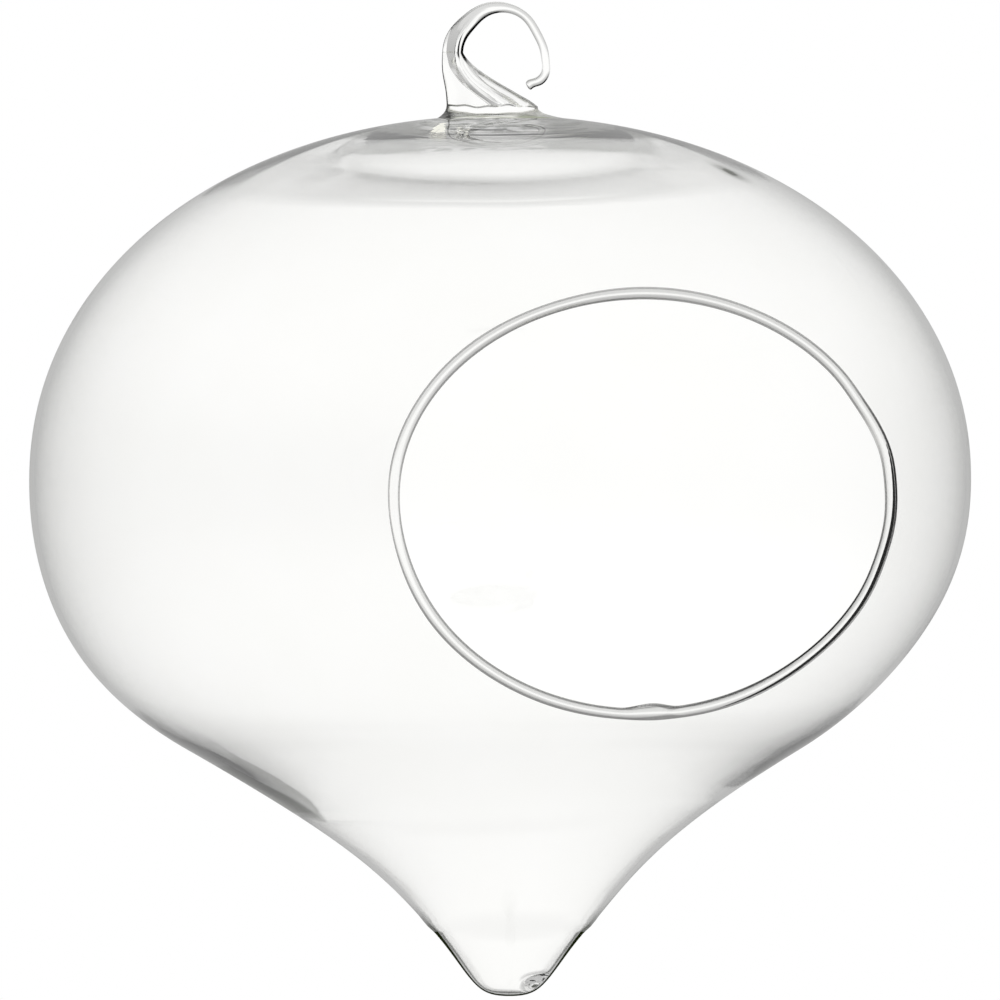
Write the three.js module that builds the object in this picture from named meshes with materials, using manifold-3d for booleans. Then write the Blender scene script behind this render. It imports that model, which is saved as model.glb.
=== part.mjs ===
// A hanging glass planter. A bulb is blown wide and low, like an onion, and its lower end is drawn
// out to a point and sealed. An oval mouth is opened in its side and its edge is trailed with a
// thread of glass, whose two ends meet in a lens-shaped drop at the bottom. A gather of hot glass is
// pressed on the crown and drawn up into an open hook.
// Millimetres, +Z up. The origin is where a cord bears, at the top of the eye of the hook. The loop
// of the hook lies in the XZ plane, and the mouth looks towards -Y and a little towards +X.

import * as THREE from 'three';
import { mergeVertices } from 'three/addons/utils/BufferGeometryUtils.js';
import Module from 'manifold-3d';

const wasm = await Module();
wasm.setup();

// The hook
const eyeDiameter = 12.6;
const rodDiameter = 1.45;
const neckWidth = 3.35;
const neckDepth = 2.5;
const loopStart = 180;
const snipAngle = -52;
const swellStart = 60;
const swellEnd = 170;
const rootHeight = 8.4;
const rootWidth = 14.5;
const rootDepth = 9;
const rootSpread = 1.35;
const backLean = 0.7;

// The gather that the hook is drawn from, pressed on the crown
const footHeight = 2.2;
const footWidth = 21;
const footDepth = 19;
const footFlare = 2.2;
const padMargin = 0.4;

// The outside of the bulb, with heights and depths taken from its widest level
const bulbDiameter = 150;
const crownHeight = 58;
const crownFullness = 2.07;
const bowlDepth = 54.7;
const bowlFullness = 2.125;
const tailTop = 43;
const tailTopPull = 14.3;
const sealDepth = 72;
const sealDiameter = 24.3;
const sealSlope = 0.85;
const sealPull = 9.1;
const tipLength = 10.25;
const tipTopPull = 8;
const tipNosePull = 5.7;

// The wall of the bulb
const crownWall = 2.4;
const crownWallTaper = 6;
const bellyWall = 1.4;
const bowlWall = 1.9;
const sealWall = 1.1;
const tipThickness = 1.6;

// Where the axis of the hand-blown bulb strays from a straight plumb line
const crownOffset = -0.35;
const bowlStray = -1.4;
const bowlStrayDepth = 35;
const bowlStrayReach = 17.5;
const tailStray = 1.45;
const tailStrayTop = 47.8;
const tailStrayEnd = 71.6;

// The mouth and the thread of glass round it
const mouthWidth = 83.1;
const mouthHeight = 64.6;
const mouthDrop = 3.8;
const mouthTurn = 21.85;
const mouthLean = 2.14;
const mouthBow = 0.77;
const lipDiameter = 2;
const joinLength = 11;
const joinTurn = -87.5;
const joinWidth = 3.3;
const joinDepth = 2.8;
const fitGap = 0.3;

// How finely the round forms are divided
const bulbSides = 64;
const crownSteps = 12;
const bowlSteps = 7;
const tailSteps = 7;
const tipSteps = 6;
const dishSteps = 4;
const lipSides = 10;
const lipSteps = 88;
const joinSteps = 10;
const hookSides = 12;
const rootSteps = 10;
const loopSteps = 30;
const footSides = 40;
const footSteps = 5;

// Small steps, in mm: between points that are one and the same, and for a direction by difference
const weldStep = 1e-4;
const slopeStep = 1e-3;

// Levels, from the bearing point down
const eyeRadius = eyeDiameter / 2;
const footTopLevel = -eyeRadius - rootHeight;
const crownLevel = footTopLevel - footHeight;
const bulbRadius = bulbDiameter / 2;
const padRadius = Math.max(footWidth, footDepth) / 2 + padMargin;
const padHeight = crownHeight * superellipseLeg(padRadius / bulbRadius, crownFullness);
const bellyLevel = crownLevel - padHeight;

// The tip's nose, and the middle of its dish, by their depth under the widest level
const tipDepth = sealDepth + tipLength;
const floorDepth = tipDepth - tipThickness;

// The other leg of a superellipse of unit size, so that leg^n + other^n = 1
function superellipseLeg(leg, fullness) {
  return Math.pow(1 - Math.pow(Math.min(leg, 1), fullness), 1 / fullness);
}

// Slides from 0 at start to 1 at end, with a level start and finish
function ease(value, start, end) {
  const share = THREE.MathUtils.clamp((value - start) / (end - start), 0, 1);
  return share * share * (3 - 2 * share);
}

function mix(from, to, share) {
  return from + (to - from) * share;
}

// How far the bulb's axis lies towards +X at a height above the widest level
function axisAt(height) {
  const away = (-height - bowlStrayDepth) / bowlStrayReach;
  const bowl = bowlStray * Math.exp(-away * away);
  const tail = tailStray * ease(-height, tailStrayTop, tailStrayEnd);
  return crownOffset + bowl + tail;
}

// Points of a quarter of a superellipse between two angles, steps apart, with the first left out
function arcPoints(width, height, fullness, fromAngle, toAngle, steps) {
  const points = [];
  for (let i = 1; i <= steps; i += 1) {
    const angle = mix(fromAngle, toAngle, i / steps);
    const across = width * Math.pow(Math.max(Math.cos(angle), 0), 2 / fullness);
    const rise = height * Math.pow(Math.max(Math.sin(Math.abs(angle)), 0), 2 / fullness);
    points.push(new THREE.Vector2(across, angle < 0 ? -rise : rise));
  }
  return points;
}

// The angle at which such a quarter reaches a share of its height
function angleAtHeight(share, fullness) {
  return Math.asin(Math.pow(share, fullness / 2));
}

// The outside of the bulb from the edge of the crown's pad down to the seal of the tail
function bulbOutside() {
  const padAngle = angleAtHeight(padHeight / crownHeight, crownFullness);
  const tailAngle = angleAtHeight(tailTop / bowlDepth, bowlFullness);
  const tailRadius = bulbRadius * superellipseLeg(tailTop / bowlDepth, bowlFullness);
  const rise = tailTop / bowlDepth;
  const run = tailRadius / bulbRadius;
  const tailSlope = (bulbRadius / bowlDepth) * Math.pow(rise / run, bowlFullness - 1);
  const sealRadius = sealDiameter / 2;
  const tail = new THREE.CubicBezierCurve(
    new THREE.Vector2(tailRadius, -tailTop),
    new THREE.Vector2(tailRadius - tailSlope * tailTopPull, -tailTop - tailTopPull),
    new THREE.Vector2(sealRadius + sealSlope * sealPull, -sealDepth + sealPull),
    new THREE.Vector2(sealRadius, -sealDepth)
  );
  return [
    new THREE.Vector2(padRadius, padHeight),
    ...arcPoints(bulbRadius, crownHeight, crownFullness, padAngle, 0, crownSteps),
    ...arcPoints(bulbRadius, bowlDepth, bowlFullness, 0, -tailAngle, bowlSteps),
    ...tail.getPoints(tailSteps).slice(1)
  ];
}

// The wall's thickness at a height above the widest level
function wallAt(height) {
  if (height > 0) {
    return mix(bellyWall, crownWall, Math.pow(height / crownHeight, crownWallTaper));
  }
  if (-height < tailTop) {
    return mix(bellyWall, bowlWall, ease(-height, 0, tailTop));
  }
  return mix(bowlWall, sealWall, ease(-height, tailTop, sealDepth));
}

// The inside follows the outside at the wall's thickness, and ends level with the seal
function bulbInside(outside) {
  const inside = [];
  for (let i = 0; i < outside.length; i += 1) {
    const before = outside[Math.max(i - 1, 0)];
    const after = outside[Math.min(i + 1, outside.length - 1)];
    const along = after.clone().sub(before).normalize();
    const inward = new THREE.Vector2(along.y, -along.x);
    inside.push(outside[i].clone().addScaledVector(inward, wallAt(outside[i].y)));
  }
  const last = inside[inside.length - 1];
  last.set(sealInnerRadius(), -sealDepth);
  inside[0].set(padRadius, padHeight - crownWall);
  return inside.filter((point, i) => i === inside.length - 1 || point.y > -sealDepth);
}

// Across the tail's slope the level wall is wider than the wall's thickness
function sealInnerRadius() {
  return sealDiameter / 2 - sealWall * Math.hypot(1, sealSlope);
}

// A profile turned about a plumb axis. Its points run from bottom to top on the outside.
function turned(profile) {
  const geometry = new THREE.LatheGeometry(profile, bulbSides);
  return geometry.rotateX(Math.PI / 2);
}

// Shapes of the bulb are made about a plumb axis, with heights from its widest level. This hangs one
// at its own level, and moves each point as the hand-blown bulb's axis strays.
function hung(geometry) {
  const at = geometry.attributes.position;
  for (let i = 0; i < at.count; i += 1) {
    at.setX(i, at.getX(i) + axisAt(at.getZ(i)));
    at.setZ(i, at.getZ(i) + bellyLevel);
  }
  geometry.computeVertexNormals();
  return geometry;
}

// A closed rod whose every point is placed by its share of the length and its spot on a unit circle.
// ring gives the centre of the section, its two half axes as vectors, and the rod runs along
// their cross product.
function shapedRod(sides, steps, ring) {
  const geometry = new THREE.CylinderGeometry(1, 1, 1, sides, steps);
  const at = geometry.attributes.position;
  for (let i = 0; i < at.count; i += 1) {
    const section = ring(at.getY(i) + 0.5);
    const point = section.centre.clone();
    point.addScaledVector(section.second, at.getX(i));
    point.addScaledVector(section.first, at.getZ(i));
    at.setXYZ(i, point.x, point.y, point.z);
  }
  return geometry;
}

function toSolid(geometry) {
  const bare = geometry.clone();
  bare.deleteAttribute('normal');
  bare.deleteAttribute('uv');
  const merged = mergeVertices(bare, weldStep);
  return new wasm.Manifold(new wasm.Mesh({
    numProp: 3,
    vertProperties: new Float32Array(merged.attributes.position.array),
    triVerts: new Uint32Array(merged.index.array)
  }));
}

function fromSolid(solid) {
  const mesh = solid.getMesh();
  const geometry = new THREE.BufferGeometry();
  geometry.setAttribute('position', new THREE.BufferAttribute(mesh.vertProperties, 3));
  geometry.setIndex(new THREE.BufferAttribute(mesh.triVerts, 1));
  geometry.computeVertexNormals();
  return geometry;
}

// Directions of the mouth: out of the bulb, and to the right as one looks into it
const turn = THREE.MathUtils.degToRad(mouthTurn);
const mouthOut = new THREE.Vector3(Math.sin(turn), -Math.cos(turn), 0);
const mouthRight = new THREE.Vector3(Math.cos(turn), Math.sin(turn), 0);
const up = new THREE.Vector3(0, 0, 1);

// The radius of the middle of the wall at a height above the widest level
function wallMiddle(height) {
  const share = height > 0
    ? superellipseLeg(height / crownHeight, crownFullness)
    : superellipseLeg(-height / bowlDepth, bowlFullness);
  return bulbRadius * share - wallAt(height) / 2;
}

// A point of the mouth's oval, grown by an edge, at an angle round it: 0 is right, 90 is the top.
// The oval leans, and its middle bows to the right at the top and at the bottom
function ovalPoint(angle, edge) {
  const rise = Math.sin(angle);
  const stray = mouthBow * rise * rise - mouthLean * rise;
  const across = (mouthWidth / 2 + edge) * Math.cos(angle) + stray;
  return new THREE.Vector2(across, (mouthHeight / 2 + edge) * rise);
}

// The mouth's middle line on the wall
function lipPoint(angle) {
  const onOval = ovalPoint(angle, lipDiameter / 2);
  const across = onOval.x;
  const height = onOval.y - mouthDrop;
  const radius = wallMiddle(height);
  const out = Math.sqrt(Math.max(radius * radius - across * across, 0));
  const point = new THREE.Vector3(0, 0, height);
  point.addScaledVector(mouthRight, across);
  point.addScaledVector(mouthOut, out);
  return point;
}

// The section of the thread there: its middle, the way along it, the way towards the mouth's middle
// and the way out of the wall
function lipFrame(angle) {
  const centre = lipPoint(angle);
  const along = lipPoint(angle + slopeAngle).sub(lipPoint(angle - slopeAngle)).normalize();
  const height = centre.z;
  const spoke = new THREE.Vector3(centre.x, centre.y, 0).normalize();
  const rise = wallMiddle(height + slopeStep) - wallMiddle(height - slopeStep);
  const slope = rise / (2 * slopeStep);
  const out = spoke.addScaledVector(up, -slope).normalize();
  const inward = new THREE.Vector3().crossVectors(out, along).normalize();
  const normal = new THREE.Vector3().crossVectors(along, inward).normalize();
  return { centre, inward, normal };
}

const slopeAngle = slopeStep / (mouthWidth / 2);
const joinHalfAngle = joinLength / (mouthWidth + lipDiameter);
const gapAngle = (2 * fitGap) / (mouthWidth + lipDiameter);
const joinAngle = THREE.MathUtils.degToRad(joinTurn);

function mouthLip() {
  const start = joinAngle + joinHalfAngle + gapAngle;
  const end = joinAngle + 2 * Math.PI - joinHalfAngle - gapAngle;
  return hung(shapedRod(lipSides, lipSteps, (share) => {
    const { centre, inward, normal } = lipFrame(mix(start, end, share));
    const first = inward.multiplyScalar(lipDiameter / 2);
    const second = normal.multiplyScalar(lipDiameter / 2);
    return { centre, first, second };
  }));
}

function lipJoinDrop() {
  const start = joinAngle - joinHalfAngle;
  const end = joinAngle + joinHalfAngle;
  return hung(shapedRod(lipSides, joinSteps, (share) => {
    const { centre, inward, normal } = lipFrame(mix(start, end, share));
    const swell = Math.sin(Math.PI * share) ** 2;
    const first = inward.multiplyScalar(mix(lipDiameter, joinWidth, swell) / 2);
    const second = normal.multiplyScalar(mix(lipDiameter, joinDepth, swell) / 2);
    return { centre, first, second };
  }));
}

// The opening that the thread sits in: an oval prism that starts in the hollow, between the bulb's
// axis and the mouth, and runs out through one side
const cutterStart = bulbRadius / 4;

function mouthCutter() {
  const seat = lipDiameter + fitGap;
  const outline = Array.from({ length: lipSteps }, (_, step) => {
    return ovalPoint((2 * Math.PI * step) / lipSteps, seat);
  });
  const prism = new THREE.ExtrudeGeometry(new THREE.Shape(outline), {
    depth: bulbRadius,
    bevelEnabled: false
  });
  const middle = new THREE.Vector3(0, 0, -mouthDrop);
  middle.addScaledVector(mouthOut, cutterStart);
  const frame = new THREE.Matrix4().makeBasis(mouthRight, up, mouthOut);
  frame.setPosition(middle);
  return prism.applyMatrix4(frame);
}

function blownBulb() {
  const outside = bulbOutside();
  const inside = bulbInside(outside);
  const profile = [
    new THREE.Vector2(0, padHeight - crownWall),
    ...inside,
    ...outside.reverse(),
    new THREE.Vector2(0, padHeight)
  ];
  const whole = toSolid(turned(profile));
  return hung(fromSolid(whole.subtract(toSolid(mouthCutter()))));
}

// The end of the tail, closed in the flame: a cup whose floor is a thick drop of glass
function sealedTip() {
  const sealRadius = sealDiameter / 2;
  const innerRadius = sealInnerRadius();
  const outside = new THREE.CubicBezierCurve(
    new THREE.Vector2(sealRadius, -sealDepth),
    new THREE.Vector2(sealRadius - sealSlope * tipTopPull, -sealDepth - tipTopPull),
    new THREE.Vector2(tipNosePull, -tipDepth),
    new THREE.Vector2(0, -tipDepth)
  );
  const dishPull = (floorDepth - sealDepth) / 2;
  const dish = new THREE.CubicBezierCurve(
    new THREE.Vector2(0, -floorDepth),
    new THREE.Vector2(innerRadius / 2, -floorDepth),
    new THREE.Vector2(innerRadius - sealSlope * dishPull, -sealDepth - dishPull),
    new THREE.Vector2(innerRadius, -sealDepth)
  );
  const profile = [
    ...outside.getPoints(tipSteps).reverse(),
    ...dish.getPoints(dishSteps).reverse()
  ];
  return hung(turned(profile));
}

const eyeCentre = new THREE.Vector3(0, 0, -eyeRadius);
const depthAxis = new THREE.Vector3(0, 1, 0);

// The hook's root rises from the foot in level slices: its back is nearly plumb, and its inner side
// runs up and back as a slope. share is 0 at the foot and 1 at the eye's middle.
function rootSection(share) {
  const fall = 1 - share;
  const spread = Math.pow(fall, rootSpread);
  const width = mix(neckWidth, rootWidth, spread);
  const depth = mix(neckDepth, rootDepth, spread);
  const back = -eyeRadius - neckWidth + backLean * fall * fall;
  return {
    centre: new THREE.Vector3(back + width / 2, 0, eyeCentre.z - fall * rootHeight),
    first: new THREE.Vector3(width / 2, 0, 0),
    second: depthAxis.clone().multiplyScalar(depth / 2)
  };
}

// The loop runs round the eye from its left side over the top to the snipped end, and thins to
// the rod. share is 0 at the left side and 1 at the snip.
function loopSection(share) {
  const degrees = mix(loopStart, snipAngle, share);
  const swell = ease(degrees, swellStart, swellEnd);
  const width = mix(rodDiameter, neckWidth, swell);
  const depth = mix(rodDiameter, neckDepth, swell);
  const angle = THREE.MathUtils.degToRad(degrees);
  const spoke = new THREE.Vector3(Math.cos(angle), 0, Math.sin(angle));
  return {
    centre: eyeCentre.clone().addScaledVector(spoke, eyeRadius + width / 2),
    first: spoke.clone().multiplyScalar(-width / 2),
    second: depthAxis.clone().multiplyScalar(depth / 2)
  };
}

function hangingHook() {
  const steps = rootSteps + loopSteps;
  const rootShare = rootSteps / steps;
  return shapedRod(hookSides, steps, (share) => {
    if (share < rootShare) {
      return rootSection(share / rootShare);
    }
    return loopSection((share - rootShare) / (1 - rootShare));
  });
}

function hookFoot() {
  const top = rootSection(0);
  const topDepth = rootDepth / 2;
  const bottomX = crownOffset;
  return shapedRod(footSides, footSteps, (share) => {
    const draw = 1 - Math.pow(1 - share, footFlare);
    const width = mix(footWidth / 2, rootWidth / 2, draw);
    const depth = mix(footDepth / 2, topDepth, draw);
    const x = mix(bottomX, top.centre.x, draw);
    return {
      centre: new THREE.Vector3(x, 0, mix(crownLevel, footTopLevel, share)),
      first: new THREE.Vector3(width, 0, 0),
      second: new THREE.Vector3(0, depth, 0)
    };
  });
}

function clearGlass(roughness) {
  return new THREE.MeshStandardMaterial({ color: '#eef2f0', roughness, metalness: 0 });
}

function subPart(name, geometry, roughness) {
  const mesh = new THREE.Mesh(geometry, clearGlass(roughness));
  mesh.name = name;
  return mesh;
}

const blownRoughness = 0.03;
const workedRoughness = 0.06;

const planter = new THREE.Group();
planter.name = 'hanging_glass_planter';
planter.add(subPart('blown_bulb', blownBulb(), blownRoughness));
planter.add(subPart('sealed_tip', sealedTip(), workedRoughness));
planter.add(subPart('mouth_lip', mouthLip(), workedRoughness));
planter.add(subPart('lip_join_drop', lipJoinDrop(), workedRoughness));
planter.add(subPart('hook_foot', hookFoot(), workedRoughness));
planter.add(subPart('hanging_hook', hangingHook(), workedRoughness));

export default planter;
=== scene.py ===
# %% [markdown]
# # A hanging glass planter
#
# One bubble of clear glass, blown wide and low like an onion. Its lower end is drawn to a point, an
# oval mouth is opened in its side, and a hook is drawn up from its crown.
#
# Glass has no colour of its own to paint. What the eye sees is light that has been bent or mirrored
# by two skins, the outer one and the inner one. So the work here is in the two skins: each piece is
# a closed shape with its true wall, and the render traces the light through it.
#
# The CAD model is loaded first. It fixes the sizes, and everything below is made around it.

import bpy
import numpy as np
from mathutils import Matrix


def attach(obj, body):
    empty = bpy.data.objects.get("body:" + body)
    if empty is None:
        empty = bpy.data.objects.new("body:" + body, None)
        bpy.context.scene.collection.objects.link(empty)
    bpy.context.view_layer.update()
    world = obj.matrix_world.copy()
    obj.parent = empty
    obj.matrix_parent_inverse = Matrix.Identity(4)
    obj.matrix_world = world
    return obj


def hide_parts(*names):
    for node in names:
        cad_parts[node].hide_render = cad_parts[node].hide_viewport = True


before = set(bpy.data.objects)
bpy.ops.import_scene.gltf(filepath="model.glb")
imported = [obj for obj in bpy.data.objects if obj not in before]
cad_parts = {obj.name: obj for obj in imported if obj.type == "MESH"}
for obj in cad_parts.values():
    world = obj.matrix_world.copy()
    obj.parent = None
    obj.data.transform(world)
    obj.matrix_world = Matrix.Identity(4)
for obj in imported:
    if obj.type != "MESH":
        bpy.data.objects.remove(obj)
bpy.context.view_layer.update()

print("solids:", sorted(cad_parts))

# %% [markdown]
# ## Sizes
#
# All sizes are in millimetres and follow the CAD model. Heights on the bulb are taken from its
# widest level, and the origin of the planter is the top of the eye, where a cord bears.
#
# They could be read off the imported meshes, but a formula gives a skin that is as smooth as one
# likes, so the same few sizes are written here again.

# %% Sizes of the planter
MM = 0.001

BULB_RADIUS = 75.0
CROWN_HEIGHT = 58.0
CROWN_FULLNESS = 2.07
BOWL_DEPTH = 54.7
BOWL_FULLNESS = 2.125
TAIL_TOP = 43.0
TAIL_TOP_PULL = 14.3
SEAL_DEPTH = 72.0
SEAL_RADIUS = 12.15
SEAL_SLOPE = 0.85
SEAL_PULL = 9.1
TIP_DEPTH = 82.25
TIP_TOP_PULL = 8.0
TIP_NOSE_PULL = 5.7

EYE_RADIUS = 6.3
ROOT_HEIGHT = 8.4
FOOT_HEIGHT = 2.2
PAD_RADIUS = 10.9

MOUTH_HALF_WIDTH = 41.55
MOUTH_HALF_HEIGHT = 32.3
MOUTH_DROP = 3.8
MOUTH_TURN = np.radians(21.85)
LIP_RADIUS = 1.0
JOIN_TURN = np.radians(-87.5)
JOIN_HALF_TURN = 11.0 / 85.1


def other_leg(leg, fullness):
    """The other leg of a unit superellipse: one less the leg to a power, and the root of that."""
    return (1 - np.clip(leg, 0, 1) ** fullness) ** (1 / fullness)


def ease(value, start, end):
    """Slides from 0 at start to 1 at end and is level at both: three squares less two cubes."""
    share = np.clip((value - start) / (end - start), 0, 1)
    return share * share * (3 - 2 * share)


def mix(low, high, share):
    """A straight mix of two values."""
    return low + (high - low) * share


def bump(angle, centre, reach):
    """A bell-shaped bump on a circle, in degrees: 1 at the centre and next to nothing far off."""
    away = (angle - centre + 180) % 360 - 180
    return np.exp(-((away / reach) ** 2))


FOOT_TOP = -EYE_RADIUS - ROOT_HEIGHT
CROWN_LEVEL = FOOT_TOP - FOOT_HEIGHT
BELLY_LEVEL = CROWN_LEVEL - CROWN_HEIGHT * other_leg(PAD_RADIUS / BULB_RADIUS, CROWN_FULLNESS)
print("widest level at", round(BELLY_LEVEL, 2), "mm")

# %% [markdown]
# ## The line of the bulb
#
# A glass blower turns the bubble all the time, so one line, turned about an axis, gives its whole
# skin. The line has four stretches. The crown and the bowl are quarters of superellipses, a little
# fuller than plain ellipses. The tail and the tip are Bezier curves that leave in the direction in
# which the last stretch arrived.
#
# It is worked out as a dense row of points and then read by its length, so rows of a mesh can lie
# at even steps along the glass.

# %% The outer line, from the top of the crown to the nose of the tip
DENSE = 4000


def bezier(points, share):
    """A cubic Bezier curve: four points weighed by the terms of (1 - share + share) cubed."""
    a, b, c, d = (np.array(point, float)[:, None] for point in points)
    rest = 1 - share
    return a * rest**3 + 3 * b * rest**2 * share + 3 * c * rest * share**2 + d * share**3


def superellipse(radius, height, fullness, angle):
    """Radius and height times the cosine and sine of an angle, both to the power 2 / fullness."""
    power = 2 / fullness
    return np.array([radius * np.cos(angle) ** power, height * np.sin(angle) ** power])


def outer_line():
    """Radius and height along the bulb: superellipse quarters, then two Bezier curves."""
    step = np.linspace(0, 1, DENSE)
    crown = superellipse(BULB_RADIUS, CROWN_HEIGHT, CROWN_FULLNESS, (1 - step) * np.pi / 2)
    end = np.arcsin((TAIL_TOP / BOWL_DEPTH) ** (BOWL_FULLNESS / 2))
    bowl = superellipse(BULB_RADIUS, -BOWL_DEPTH, BOWL_FULLNESS, step * end)
    rise = TAIL_TOP / BOWL_DEPTH
    run = other_leg(rise, BOWL_FULLNESS)
    slope = BULB_RADIUS / BOWL_DEPTH * (rise / run) ** (BOWL_FULLNESS - 1)
    tail = bezier([
        (BULB_RADIUS * run, -TAIL_TOP),
        (BULB_RADIUS * run - slope * TAIL_TOP_PULL, -TAIL_TOP - TAIL_TOP_PULL),
        (SEAL_RADIUS + SEAL_SLOPE * SEAL_PULL, -SEAL_DEPTH + SEAL_PULL),
        (SEAL_RADIUS, -SEAL_DEPTH),
    ], step)
    tip = bezier([
        (SEAL_RADIUS, -SEAL_DEPTH),
        (SEAL_RADIUS - SEAL_SLOPE * TIP_TOP_PULL, -SEAL_DEPTH - TIP_TOP_PULL),
        (TIP_NOSE_PULL, -TIP_DEPTH),
        (0, -TIP_DEPTH),
    ], step)
    whole = np.hstack([crown, bowl[:, 1:], tail[:, 1:], tip[:, 1:]])
    length = np.append(0, np.cumsum(np.hypot(*np.diff(whole))))
    even = np.linspace(0, length[-1], 4 * DENSE)
    return even, np.interp(even, length, whole[0]), np.interp(even, length, whole[1])


LINE, LINE_RADIUS, LINE_HEIGHT = outer_line()
LINE_RADIUS[[0, -1]] = 0
direction = np.gradient(np.array([LINE_RADIUS, LINE_HEIGHT]), LINE, axis=1)
direction /= np.hypot(*direction)
LINE_OUT = np.array([-direction[1], direction[0]])
LINE_OUT[:, 0] = (0, 1)
LINE_OUT[:, -1] = (0, -1)
SEAL_LENGTH = np.interp(SEAL_DEPTH, -LINE_HEIGHT, LINE)
print("the line is", round(LINE[-1], 1), "mm long, with the seal at", round(SEAL_LENGTH, 1))

# %% [markdown]
# ## The wall
#
# Blown glass is never even. It is thick where it was held and thin where it was stretched: a thick
# button under the hook, a cap on the crown that ends in a soft step, a thin shoulder and belly, a
# ring at the bottom of the bowl, and a thin tail. The cap's edge and the ring are what one sees as
# grey shades, because light is caught between the two skins there; in the ring a painted shade adds
# to them.
#
# A Solidify modifier would give one thickness only, so the inner skin is worked out as the outer
# line moved inwards by this wall.

# %% The wall's thickness, and the axis that strays
SHELL = 0.95
BUTTON = 2.5
BUTTON_REACH = 15.0
BUTTON_EDGE = 2.5
CAP = 0.39
CAP_LEFT_SHARE = 0.18
CAP_END = 49.7
CAP_TILT = 4.4
CAP_REACH = 2.5
CAP_STEPS = 9
RING = 0.18
RING_AT_SIDES = 0.07
RING_START = 34
RING_END = 53.7
RING_TILT = 1.3
LUMP = 0.16
LUMP_START = 40
LUMP_FALL = 0.9
BEAD = 0.7
BEAD_DEPTH = 80.4
CROWN_STRAY = -0.35
BOWL_STRAY = -1.4
TAIL_STRAY = 1.45


def wall_at(length, heading):
    """The wall's thickness in mm. It is a thin shell, and on it come a button that fades with the
    radius, a cap that ends in a slow step made of nine small ones, a ring in the bowl, a lump on
    it at the two sides that ends in a quick step, and a bead in the tip. The cap and the ring lie
    a little askew, so their edges depend on the heading."""
    radius = np.interp(length, LINE, LINE_RADIUS)
    height = np.interp(length, LINE, LINE_HEIGHT)
    depth = -height
    upper = height > 0
    button = BUTTON * np.exp(-((radius / BUTTON_REACH) ** BUTTON_EDGE)) * upper
    side = np.abs(np.cos(heading))
    end = CAP_END - CAP_TILT * np.clip(np.cos(heading), 0, 1) ** 1.5
    away = 1.4 + (radius - end) * np.clip(1 - side**2, 0.16, 1) ** 0.9 / CAP_REACH
    steps = np.linspace(-1, 1, CAP_STEPS)
    falls = [ease(away, step - 0.64 + 0.4 * step, step + 0.4) for step in steps]
    cap = CAP * (1 - CAP_LEFT_SHARE * np.cos(heading)) * (1 - sum(falls) / CAP_STEPS) * upper
    ring_end = RING_END - RING_TILT * (1 + np.cos(heading))
    to_left = 1 - 0.7 * np.clip(np.cos(heading), 0, 1)
    ring = RING + RING_AT_SIDES * side**2 * to_left
    ring = ring * ease(depth, RING_START, ring_end - 2)
    ring = ring * (1 - ease(depth, ring_end - 2, ring_end + 6))
    lump = LUMP * to_left * side**4 * ease(depth, LUMP_START, ring_end)
    lump = lump * (1 - ease(depth, ring_end, ring_end + LUMP_FALL))
    thin = SHELL - 0.15 * ease(depth, 12, 36) + 0.15 * ease(depth, 36, 53)
    thin = thin - 0.1 * ease(depth, 53, 68)
    tip = -0.4 * ease(depth, 66, 76) - 0.1 * ease(depth, 79, TIP_DEPTH)
    across = (np.cos(heading) - 0.85) / 0.35
    bead = BEAD * np.exp(-(((depth - BEAD_DEPTH) / 0.9) ** 2) - across**2)
    return thin + button + cap + ring + lump + tip + bead


def seal_swell(depth, heading):
    """How far the skins swell out at the seal: a soft ridge, and a small step in below it. Both
    are strongest at the two sides."""
    ridge = 0.14 * np.exp(-(((depth - 70.7) / 0.8) ** 2))
    step = 0.15 * ease(depth, 71.2, 72.4) * (1 - ease(depth, 73, 79))
    return (ridge - step) * np.cos(heading) ** 6


def axis_at(height):
    """Where the axis lies towards +X: a bell-shaped stray in the bowl and a slide in the tail."""
    away = (-height - 35) / 17.5
    return CROWN_STRAY + BOWL_STRAY * np.exp(-away * away) + TAIL_STRAY * ease(-height, 47.8, 71.6)


def skin(turn, length, inner):
    """Points in mm of the outer skin, or of the inner one, by turn and by length on the line. The
    turn starts at the mouth and runs to the right of someone who looks into it. The inner skin is
    the outer one moved in by the wall, and the axis strays with the height."""
    heading = MOUTH_TURN - np.pi / 2 + turn
    depth = inner * wall_at(length, heading)
    radius = np.interp(length, LINE, LINE_RADIUS) - depth * np.interp(length, LINE, LINE_OUT[0])
    height = np.interp(length, LINE, LINE_HEIGHT) - depth * np.interp(length, LINE, LINE_OUT[1])
    radius = radius + seal_swell(-height, heading)
    x = radius * np.cos(heading) + axis_at(height)
    y = radius * np.sin(heading)
    return np.stack(np.broadcast_arrays(x, y, height + BELLY_LEVEL), axis=-1)


LINE_WALL = wall_at(LINE, MOUTH_TURN - np.pi / 2)
LINE_MIDDLE = np.array([LINE_RADIUS, LINE_HEIGHT]) - LINE_WALL / 2 * LINE_OUT
print("wall from", round(LINE_WALL.min(), 2), "to", round(LINE_WALL.max(), 2), "mm")

# %% [markdown]
# ## From arrays to a mesh
#
# Every piece below ends as an array of points and some arrays of triangles, each marked as glass
# or as a joint. A joint is a place inside the glass where two worked pieces are fused.
#
# At a joint there is no skin, so light must go straight through. Each piece is still a closed
# shape, and its joint faces get a fully transparent material. The skin keeps its own smooth
# shading up to the joint, so the edges between the two are set sharp.

# %% Helpers for grids, fans and meshes
GLASS, JOINT, FLECKED = 0, 1, 2


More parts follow.
